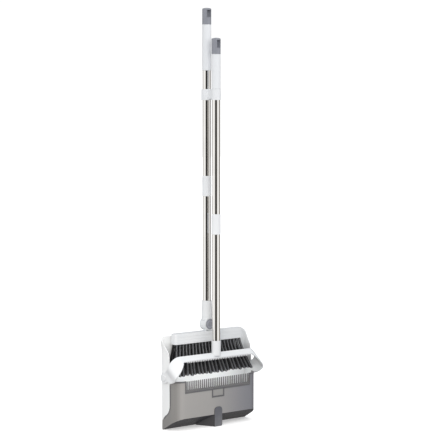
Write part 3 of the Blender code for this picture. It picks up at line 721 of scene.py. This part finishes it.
def seam_line(forward):
    """The seam from the top of the hood to its heel, in (Y, Z), moved forward."""
    points = [(-0.6, 127.0), (-0.9, 100.0)]
    for i in range(9):
        a = math.radians(180 + 65 * i / 8)
        points.append((32 + 33 * math.cos(a), 70 + 33 * math.sin(a)))
    points.append((25.0, 33.5))
    moved = []
    for i, (y, z) in enumerate(points):
        lean = min(1.0, max(0.0, (72.0 - z) / 40.0))
        moved.append((y - forward * (1 - 0.35 * lean), z - forward * 0.75 * lean))
    return [(y * MM + SEAM_SHIFT, z * MM) for y, z in moved]


for label, side in (("left", -1), ("right", 1)):
    loop = seam_line(3.6) + seam_line(0.2)[::-1]
    loop = [(side * (PAN_HALF - 0.2 * MM), y, z) for y, z in loop]
    bead = slab("hood_seam_bead_" + label, loop, (side * 0.55 * MM, 0, 0), 0.15 * MM)
    finish_piece(bead, RIM, "pan")

# %% [markdown]
# ## Ridges of the broom's bar
#
# Three thin ridges run along the front of the bar. They are drawn as long lozenges with rounded ends.

# %% Ridges
BAR_FRONT = BAR_LOW[1]


def lozenge(half, low, high, y):
    middle_z, radius = (low + high) / 2, (high - low) / 2
    points = []
    for cx, start in ((half, -90), (-half, 90)):
        for i in range(7):
            a = math.radians(start + 30 * i)
            points.append((cx + radius * math.cos(a), y, middle_z + radius * math.sin(a)))
    return points


for i, z in enumerate((238 * MM, 246 * MM, 254 * MM)):
    outline = lozenge(112 * MM, z - 0.9 * MM, z + 0.9 * MM, BAR_FRONT + 0.1 * MM)
    ridge = slab("bar_ridge_" + str(i + 1), outline, (0, -0.8 * MM, 0), 0.3 * MM)
    finish_piece(ridge, WHITE, "broom_head")

# %% [markdown]
# ## Teeth of the bail's bar
#
# The bar of the bail has a row of small teeth along its front edge, which strip fluff from the
# bristles. The whole row is one zigzag outline. Its straight side lies inside the bar.

# %% Teeth
TEETH = 37
TEETH_PITCH = 6.0 * MM
TEETH_FRONT, TEETH_BACK = -25.6 * MM, -24.2 * MM
TEETH_ROOT, TEETH_GAP, TEETH_TIP = 191.2 * MM, 190.3 * MM, 186.5 * MM


def teeth_outline():
    last = (TEETH - 1) / 2 * TEETH_PITCH
    points = [(last + 1.5 * MM, TEETH_ROOT), (-last - 1.5 * MM, TEETH_ROOT)]
    for i in range(TEETH):
        x = i * TEETH_PITCH - last
        points.append((x - 1.4 * MM, TEETH_GAP))
        points.append((x - 0.8 * MM, TEETH_TIP))
        points.append((x + 0.8 * MM, TEETH_TIP))
        points.append((x + 1.4 * MM, TEETH_GAP))
    return [(x, TEETH_FRONT, z) for x, z in points]


teeth = slab("bail_teeth", teeth_outline(), (0, TEETH_BACK - TEETH_FRONT, 0))
finish_piece(teeth, WHITE, "handle")

# %% [markdown]
# ## Ring of the button
#
# The button's face has a sunk ring. A torus is laid in the groove and pressed flat, and its paler
# blue is a painted highlight: the bright ring that the groove's rounded edge catches.

# %% Button ring
deselect()
bpy.ops.mesh.primitive_torus_add(
    major_segments=64, minor_segments=12, major_radius=9.0 * MM, minor_radius=0.9 * MM,
    location=(0, BUTTON.y, BUTTON.z), rotation=(math.radians(90), 0, 0))
ring = bpy.context.object
ring.name = "button_ring"
bpy.ops.object.transform_apply(location=True, rotation=True, scale=True)
face_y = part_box("swivel_button")[0][1]
bpy.ops.object.mode_set(mode="EDIT")
bpy.ops.mesh.select_all(action="SELECT")
bpy.ops.transform.translate(value=(0, face_y + 0.75 * MM - BUTTON.y, 0))
bpy.ops.transform.resize(value=(1, 0.8, 1), center_override=(0, face_y + 0.75 * MM, BUTTON.z))
bpy.ops.object.mode_set(mode="OBJECT")
# Painted highlight: the ring's paler blue stands for the light that its rounded edge catches.
RING_HIGHLIGHT = plastic(
    "button_ring_painted_highlight", (0.42, 0.44, 0.50), (0.50, 0.52, 0.58), (0.3, 0.42), scuff=0.2, dust=0.0)
finish_piece(ring, RING_HIGHLIGHT, "button")

# %% [markdown]
# ## Pan with flared lips
#
# The frame's pan has straight side walls. On the real pan the top corners are rounded and flare
# outward, so that dirt is caught from the sides. A copy of the solid is cut into strips near its
# top corners, and the points there are moved: outward more and more towards the top, and the square
# corner drawn in to a quarter circle.

# %% Flared pan
FLARE = 5.5 * MM
FLARE_FROM = 206 * MM
LIP_RADIUS = 15 * MM


def smooth_step(value):
    value = min(1.0, max(0.0, value))
    return value * value * (3 - 2 * value)


def make_pan():
    pan = bpy.data.objects.new("pan_moulding", nodes["pan_body"].data.copy())
    bpy.context.scene.collection.objects.link(pan)
    deselect()
    pan.select_set(True)
    bpy.context.view_layer.objects.active = pan
    bpy.ops.object.mode_set(mode="EDIT")
    bpy.ops.mesh.select_all(action="SELECT")
    bpy.ops.mesh.remove_doubles(threshold=0.01 * MM)
    bpy.ops.mesh.dissolve_limited(angle_limit=math.radians(1))
    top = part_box("pan_body")[1][2]
    for i in range(12):
        bpy.ops.mesh.select_all(action="SELECT")
        z = FLARE_FROM + (top - FLARE_FROM) * i / 12
        bpy.ops.mesh.bisect(plane_co=(0, 0, z), plane_no=(0, 0, 1))
    for x in (118, 124, 130, 133, 136, 139, 142):
        for side in (-1, 1):
            bpy.ops.mesh.select_all(action="SELECT")
            bpy.ops.mesh.bisect(plane_co=(side * x * MM, 0, 0), plane_no=(1, 0, 0))
    bpy.ops.object.mode_set(mode="OBJECT")
    for vert in pan.data.vertices:
        x, z = abs(vert.co.x), vert.co.z
        side = 1 if vert.co.x > 0 else -1
        dx, dz = x - (PAN_HALF - LIP_RADIUS), z - (top - LIP_RADIUS)
        if dx > 0 and dz > 0:
            scale = max(dx, dz) / math.hypot(dx, dz)
            x, z = x - dx * (1 - scale), z - dz * (1 - scale)
        rise = smooth_step((z - FLARE_FROM) / (top - FLARE_FROM))
        reach = smooth_step((x - 118 * MM) / (PAN_HALF - 118 * MM))
        vert.co.x = side * (x + FLARE * rise * reach)
        vert.co.z = z
    return pan


# %% Put the flared pan in place
pan = make_pan()
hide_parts("pan_body")
finish_piece(pan, CREAM, "pan", angle=30)

# %% [markdown]
# ## Bristles
#
# The broom's head holds bundles of nylon fibre, set in four rows. Each bundle leaves the bar tight,
# fans out, waves a little and ends in a ragged round tip, and the outer bundles lean outward. One
# fibre is modelled: a triangle extruded ring by ring. It is copied into one bundle, and the bundle
# into every hole, where its points are moved to lean and wave.

# %% One fibre
FIBRE_LENGTH = 1.0
FIBRE_RINGS = 7


def make_fibre():
    """A three-sided thread of length 1 down from the origin, a little thinner at its tip."""
    deselect()
    bpy.ops.mesh.primitive_circle_add(vertices=3, radius=0.42 * MM, fill_type="NGON")
    fibre = bpy.context.object
    fibre.name = "fibre"
    bpy.ops.object.mode_set(mode="EDIT")
    bpy.ops.mesh.select_all(action="SELECT")
    for _ in range(FIBRE_RINGS):
        step = {"value": (0, 0, -FIBRE_LENGTH / FIBRE_RINGS)}
        bpy.ops.mesh.extrude_region_move(TRANSFORM_OT_translate=step)
        bpy.ops.transform.resize(value=(0.97, 0.97, 1.0))
    bpy.ops.mesh.select_all(action="SELECT")
    bpy.ops.mesh.normals_make_consistent(inside=False)
    bpy.ops.object.mode_set(mode="OBJECT")
    return fibre


fibre = make_fibre()
print("fibre:", len(fibre.data.polygons), "faces")

# %% One bundle of fibres
BUNDLE_HALF_WIDTH = 3.9 * MM
BUNDLE_HALF_DEPTH = 2.4 * MM


def make_bundle(count=44):
    """Fibres packed in an oval, joined to one object."""
    rng = random.Random(7)
    parts = []
    golden = math.radians(137.508)
    for i in range(count):
        reach = math.sqrt((i + 0.5) / count)
        angle = i * golden
        copy = fibre.copy()
        copy.data = fibre.data.copy()
        copy.location.x = BUNDLE_HALF_WIDTH * reach * math.cos(angle)
        copy.location.y = BUNDLE_HALF_DEPTH * reach * math.sin(angle)
        copy.rotation_euler.z = rng.uniform(0, 6.28)
        copy.scale.z = 1.0 - 0.035 * reach ** 2 - rng.uniform(0, 0.018)
        # Painted highlight: the fibres down the middle of the bundle, a little off centre, get a share of a
        # paler tone, as a lit ribbon.
        middle_share = max(0.0, 1.0 - abs(copy.location.x + 0.8 * MM) / (0.75 * BUNDLE_HALF_WIDTH))
        tone = copy.data.attributes.new("thread_painted_highlight", "FLOAT", "POINT")
        shade = middle_share ** 2.2 * rng.uniform(0.6, 1.0)
        tone.data.foreach_set("value", [shade] * len(copy.data.vertices))
        bpy.context.scene.collection.objects.link(copy)
        parts.append(copy)
    deselect()
    for part in parts:
        part.select_set(True)
    bpy.context.view_layer.objects.active = parts[0]
    bpy.ops.object.join()
    bundle = bpy.context.object
    bundle.name = "bundle"
    bpy.ops.object.transform_apply(location=True, rotation=True, scale=True)
    return bundle


bundle = make_bundle()
print("bundle:", len(bundle.data.polygons), "faces")

# %% One bundle in its hole
ROOT_Z = BAR_LOW[2]
TIP_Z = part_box("bristles")[0][2]
ROOT_HALF = 115.0 * MM
TIP_HALF = 139.0 * MM
ROWS = 4
COLUMNS = 21
noise.seed_set(5)          # without a seed the stray of the fibres differs from run to run
sway_rng = random.Random(5)
SWAY = []   # size and phase of each column's wave
for _ in range(COLUMNS):
    size = sway_rng.uniform(1.0, 2.6) * MM * sway_rng.choice((-1, 1))
    SWAY.append((size, sway_rng.uniform(0, 2)))
FIRST_ROW_Y = BROOM_Y - 9.5 * MM
ROWS_DEPTH = 18.5 * MM
SUNK = 1.0 * MM            # the bundles' roots sit this deep in the bar
FRONT_LEAN = 28.0 * MM     # how far the tips of the first row lean forward
# Painted shade: the back rows keep only this share of the painted highlight.
BACK_ROWS_PAINTED_SHADE = 0.2       # the back rows catch less light


def place_bundle(row, column, rng):
    """A copy of the bundle, leaning and waving from its root to its tip."""
    copy = bundle.copy()
    copy.data = bundle.data.copy()
    bpy.context.scene.collection.objects.link(copy)
    # Painted shade: the back rows keep less of the painted highlight.
    if row:
        for item in copy.data.attributes["thread_painted_highlight"].data:
            item.value *= BACK_ROWS_PAINTED_SHADE
    side = 2.0 * (column + (0.5 if row % 2 else 0.0)) / (COLUMNS - 0.5) - 1.0
    depth = row / (ROWS - 1)
    root = Vector((ROOT_HALF * side, FIRST_ROW_Y + ROWS_DEPTH * depth, ROOT_Z + SUNK))
    lean_y = MM * depth - FRONT_LEAN * (1 - depth) ** 1.1
    lean = Vector(((TIP_HALF - ROOT_HALF) * side, lean_y, 0))
    length = ROOT_Z - TIP_Z + SUNK + rng.uniform(-2.0, 1.0) * MM - 3.0 * MM * depth
    sway = SWAY[column][0] + rng.uniform(-0.4, 0.4) * MM
    phase = SWAY[column][1]
    fan = rng.uniform(0.36, 0.52)
    spin = rng.uniform(-0.15, 0.15)
    for vert in copy.data.vertices:
        t = -vert.co.z
        x = vert.co.x * math.cos(spin * t) - vert.co.y * math.sin(spin * t)
        y = vert.co.x * math.sin(spin * t) + vert.co.y * math.cos(spin * t)
        wave = sway * math.sin(math.pi * (1.4 * t + phase)) * t
        stray = noise.noise_vector(Vector((vert.co.x, vert.co.y, 0)) * 900 + Vector((column, row, 2 * t)))
        vert.co.x = x * (1 + fan * t) + lean.x * t ** 1.25 + wave + stray.x * 0.5 * MM * t
        vert.co.y = y * (1 + 0.9 * t) + lean.y * t ** 1.35 + stray.y * 0.5 * MM * t
        vert.co.z = -length * t
        vert.co += root
    return copy


print("rows:", ROWS, "columns:", COLUMNS)

# %% All the bundles


def make_bristles():
    rng = random.Random(11)
    parts = []
    for row in range(ROWS):
        for column in range(COLUMNS - (row % 2)):
            parts.append(place_bundle(row, column, rng))
    deselect()
    for part in parts:
        part.select_set(True)
    bpy.context.view_layer.objects.active = parts[0]
    bpy.ops.object.join()
    whole = bpy.context.object
    whole.name = "bristle_bundles"
    return whole


bristles = make_bristles()
bpy.data.objects.remove(fibre)
bpy.data.objects.remove(bundle)
print("bristles:", len(bristles.data.polygons), "faces")

# %% [markdown]
# Nylon fibre is dark and glossy. The bundles take slightly different tones, some browner. Highlights
# are painted into the colour: single threads as grey streaks, from noise that is drawn out along Z,
# and a paler ribbon down the middle of each bundle, which the back rows keep less of as painted shade.

# %% Bristle finish


def make_fibre_finish():
    mat = bpy.data.materials.new("black_nylon_fibre")
    mat.use_nodes = True
    tree = mat.node_tree
    shader = tree.nodes["Principled BSDF"]
    place = add_node(tree, "ShaderNodeTexCoord", (-1300, 0))
    thread = add_node(tree, "ShaderNodeMapping", (-1100, 0))
    thread.inputs["Scale"].default_value = (1.0, 0.6, 0.04)
    tree.links.new(place.outputs["Object"], thread.inputs["Vector"])
    streaks = add_node(tree, "ShaderNodeTexNoise", (-900, 0), Scale=420.0, Detail=3.0, Roughness=0.7)
    tree.links.new(thread.outputs[0], streaks.inputs["Vector"])
    tufts = add_node(tree, "ShaderNodeTexNoise", (-900, 300), Scale=60.0, Detail=1.0)
    tree.links.new(thread.outputs[0], tufts.inputs["Vector"])
    dark = mix_colour(tree, tufts.outputs["Fac"], (0.003, 0.003, 0.004), (0.014, 0.014, 0.015), (-600, 300))
    # Painted highlight: grey streaks along single threads.
    lift = add_node(tree, "ShaderNodeMapRange", (-600, 0), From_Min=0.52, From_Max=0.72)
    tree.links.new(streaks.outputs["Fac"], lift.inputs["Value"])
    # Painted highlight: the paler ribbon tone, per fibre, mixed over the dark nylon.
    tone = add_node(tree, "ShaderNodeAttribute", (-900, -250), attribute_name="thread_painted_highlight")
    ribbon = mix_colour(tree, tone.outputs["Fac"], dark, (0.46, 0.475, 0.50), (-480, 300))
    colour = mix_colour(tree, lift.outputs[0], ribbon, (0.09, 0.093, 0.10), (-350, 200))
    tree.links.new(colour, shader.inputs["Base Color"])
    gloss = add_node(tree, "ShaderNodeMapRange", (-350, -50), To_Min=0.30, To_Max=0.55)
    tree.links.new(streaks.outputs["Fac"], gloss.inputs["Value"])
    tree.links.new(gloss.outputs[0], shader.inputs["Roughness"])
    shader.inputs["Specular IOR Level"].default_value = 0.35
    return mat


bristles.data.materials.clear()
bristles.data.materials.append(make_fibre_finish())
bristles.data.shade_smooth()
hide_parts("bristles")
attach(bristles, "broom_head")
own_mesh(bristles)
print("bristles ride on the broom's head")
